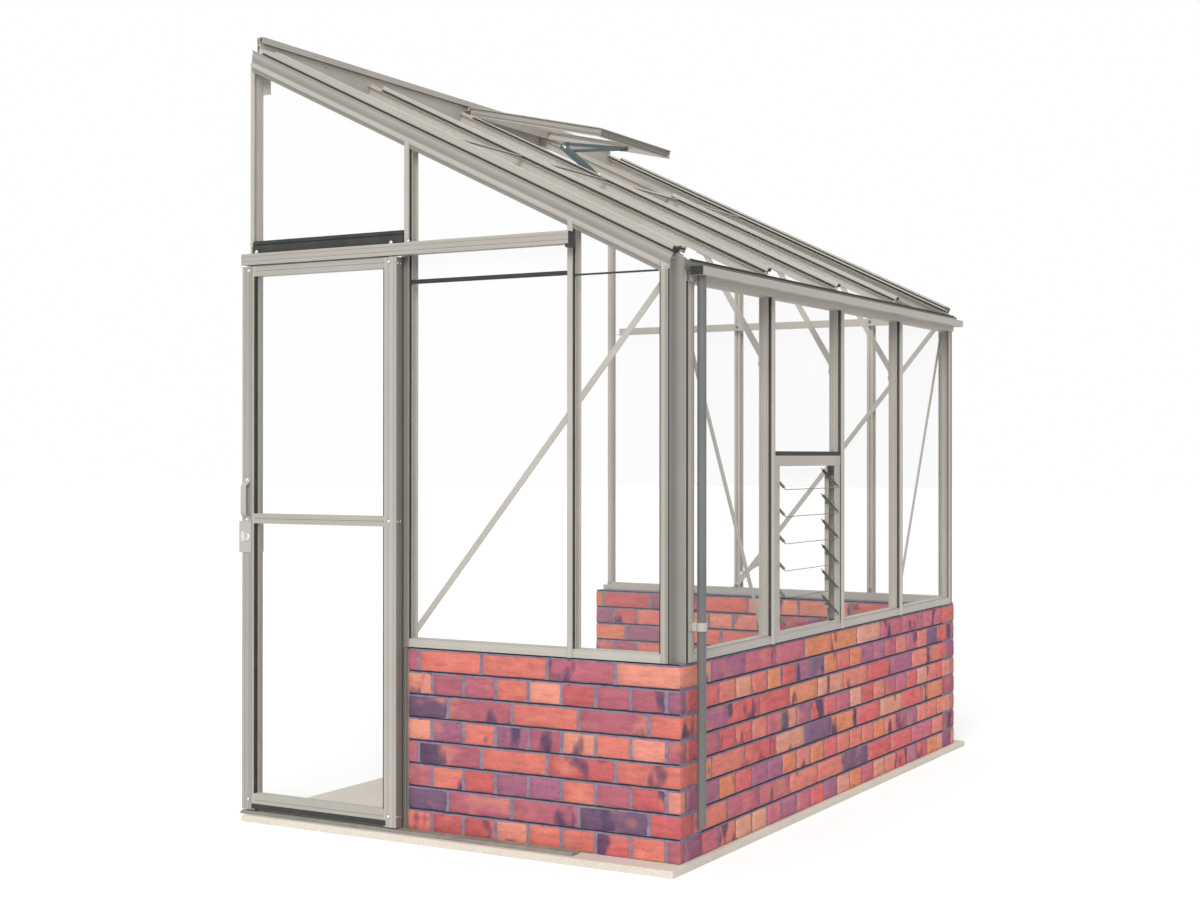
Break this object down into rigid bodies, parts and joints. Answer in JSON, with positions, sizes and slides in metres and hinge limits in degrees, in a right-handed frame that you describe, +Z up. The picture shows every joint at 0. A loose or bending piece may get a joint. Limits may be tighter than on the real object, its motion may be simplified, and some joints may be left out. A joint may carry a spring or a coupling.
{
  "type": "lean-to greenhouse",
  "caption": "Lean-to greenhouse with aluminium glazing bars on a low brick base, sliding gable door, hinged roof vent and louvre window",
  "frame": {"origin": "setting-out corner of the brick base (near gable, eaves side) on the underside of the slab", "axes": "+X out from the house wall towards the eaves, +Y along the house wall away from the door gable, +Z up"},
  "size_m": [1.729, 2.7399, 2.704],
  "materials": {
    "alu": "pale powder-coated aluminium sections",
    "brick": "mixed red and salmon facing brick with raked mortar",
    "stone": "pale paving",
    "rubber": "matt black seal",
    "black_plastic": "matt black plastic",
    "glass": "clear float glass",
    "steel": "plain fixings",
    "grey_plastic": "grey rainwater plastic",
    "slate_paint": "slate green paint",
    "bright": "satin handle"
  },
  "bodies": {
    "frame": {"slab": "stone", "wall_near": "brick", "wall_side": "brick", "wall_far": "brick", "sills": "alu", "corner_posts": "alu", "wall_posts": "alu", "door_jamb": "alu", "gable_bars": "alu", "side_bars": "alu", "wall_caps": "alu", "wall_plate": "alu", "gable_rafters": "alu", "roof_bars": "alu", "roof_caps": "alu", "cap_plugs": "rubber", "eaves_gutter": "alu", "seals": "rubber", "side_glass": "glass", "gable_glass": "glass", "roof_glass": "glass", "joint_strips": "alu", "diagonal_braces": "alu", "knee_braces": "alu", "far_tie": "alu", "door_track": "alu", "door_head_seal": "rubber", "bottom_track": "alu", "end_stop": "black_plastic", "gusset_plates": "alu", "vent_sill": "alu", "downpipe": "grey_plastic", "pipe_clip": "alu", "frame_bolts": "steel", "louvre_frame": "alu", "louvre_channels": "alu"},
    "door": {"door_stiles": "alu", "door_rails": "alu", "door_glass": "glass", "door_brush": "rubber", "door_handle": "bright", "lock_plates": "alu", "door_screws": "steel"},
    "roller_left": {"door_roller_left": "black_plastic"},
    "roller_right": {"door_roller_right": "black_plastic"},
    "lock": {"lock_cylinder": "steel"},
    "vent": {"vent_frame": "alu", "vent_glass": "glass"},
    "opener": {"opener_body": "slate_paint"},
    "opener_arms": {"opener_upper_arm": "slate_paint", "opener_lower_arm": "slate_paint"},
    "lever": {"louvre_lever": "alu"},
    "link": {"louvre_link": "alu"},
    "blade_1": {"louvre_blade_1": "glass"},
    "blade_2": {"louvre_blade_2": "glass"},
    "blade_3": {"louvre_blade_3": "glass"},
    "blade_4": {"louvre_blade_4": "glass"},
    "blade_5": {"louvre_blade_5": "glass"},
    "blade_6": {"louvre_blade_6": "glass"}
  },
  "joints": [
    {"name": "door_slide", "type": "slide", "parent": "frame", "child": "door", "axis": [1, 0, 0], "range_m": [0, 0.62]},
    {"name": "roller_left_turn", "type": "hinge", "parent": "door", "child": "roller_left", "pos_m": [-1.589, 0, 1.9164], "axis": [0, 1, 0], "continuous": true},
    {"name": "roller_right_turn", "type": "hinge", "parent": "door", "child": "roller_right", "pos_m": [-1.0824, 0, 1.9164], "axis": [0, 1, 0], "continuous": true},
    {"name": "lock_turn", "type": "hinge", "parent": "door", "child": "lock", "pos_m": [-1.636, 0, 0.968], "axis": [0, 1, 0], "range_deg": [-90, 90]},
    {"name": "vent_hinge", "type": "hinge", "parent": "frame", "child": "vent", "pos_m": [-1.64, 0, 2.67095], "axis": [0, -1, 0], "range_deg": [-12.9, 10]},
    {"name": "opener_foot", "type": "hinge", "parent": "frame", "child": "opener", "pos_m": [-1.09, 0, 2.322], "axis": [0, -1, 0], "range_deg": [-7, 9]},
    {"name": "opener_elbow", "type": "hinge", "parent": "opener", "child": "opener_arms", "pos_m": [-1.315, 0, 2.519], "axis": [0, -1, 0], "range_deg": [-30, 23.5]},
    {"name": "louvre_handle", "type": "hinge", "parent": "frame", "child": "lever", "pos_m": [-0.048, 0, 0.8954], "axis": [0, -1, 0], "range_deg": [-19, 17.5]},
    {"name": "louvre_lift", "type": "slide", "parent": "frame", "child": "link", "axis": [0, 0, 1], "range_m": [-0.0108, 0.0117]},
    {"name": "blade_1_turn", "type": "hinge", "parent": "frame", "child": "blade_1", "pos_m": [-0.0135, 0, 0.7134], "axis": [0, -1, 0], "range_deg": [-38.5, 35.5]},
    {"name": "blade_2_turn", "type": "hinge", "parent": "frame", "child": "blade_2", "pos_m": [-0.0135, 0, 0.8044], "axis": [0, -1, 0], "range_deg": [-38.5, 35.5]},
    {"name": "blade_3_turn", "type": "hinge", "parent": "frame", "child": "blade_3", "pos_m": [-0.0135, 0, 0.8954], "axis": [0, -1, 0], "range_deg": [-38.5, 35.5]},
    {"name": "blade_4_turn", "type": "hinge", "parent": "frame", "child": "blade_4", "pos_m": [-0.0135, 0, 0.9864], "axis": [0, -1, 0], "range_deg": [-38.5, 35.5]},
    {"name": "blade_5_turn", "type": "hinge", "parent": "frame", "child": "blade_5", "pos_m": [-0.0135, 0, 1.0774], "axis": [0, -1, 0], "range_deg": [-38.5, 35.5]},
    {"name": "blade_6_turn", "type": "hinge", "parent": "frame", "child": "blade_6", "pos_m": [-0.0135, 0, 1.1684], "axis": [0, -1, 0], "range_deg": [-38.5, 35.5]}
  ],
  "couplings": [
    {"joint": "roller_left_turn", "follows": "door_slide", "rad_per_m": 76.923},
    {"joint": "roller_right_turn", "follows": "door_slide", "rad_per_m": 76.923},
    {"joint": "opener_foot", "follows": "vent_hinge", "ratio": -0.6656},
    {"joint": "opener_elbow", "follows": "vent_hinge", "ratio": 2.2917},
    {"joint": "louvre_lift", "follows": "louvre_handle", "m_per_rad": -0.0346},
    {"joint": "blade_1_turn", "follows": "louvre_handle", "ratio": 2},
    {"joint": "blade_2_turn", "follows": "louvre_handle", "ratio": 2},
    {"joint": "blade_3_turn", "follows": "louvre_handle", "ratio": 2},
    {"joint": "blade_4_turn", "follows": "louvre_handle", "ratio": 2},
    {"joint": "blade_5_turn", "follows": "louvre_handle", "ratio": 2},
    {"joint": "blade_6_turn", "follows": "louvre_handle", "ratio": 2}
  ]
}
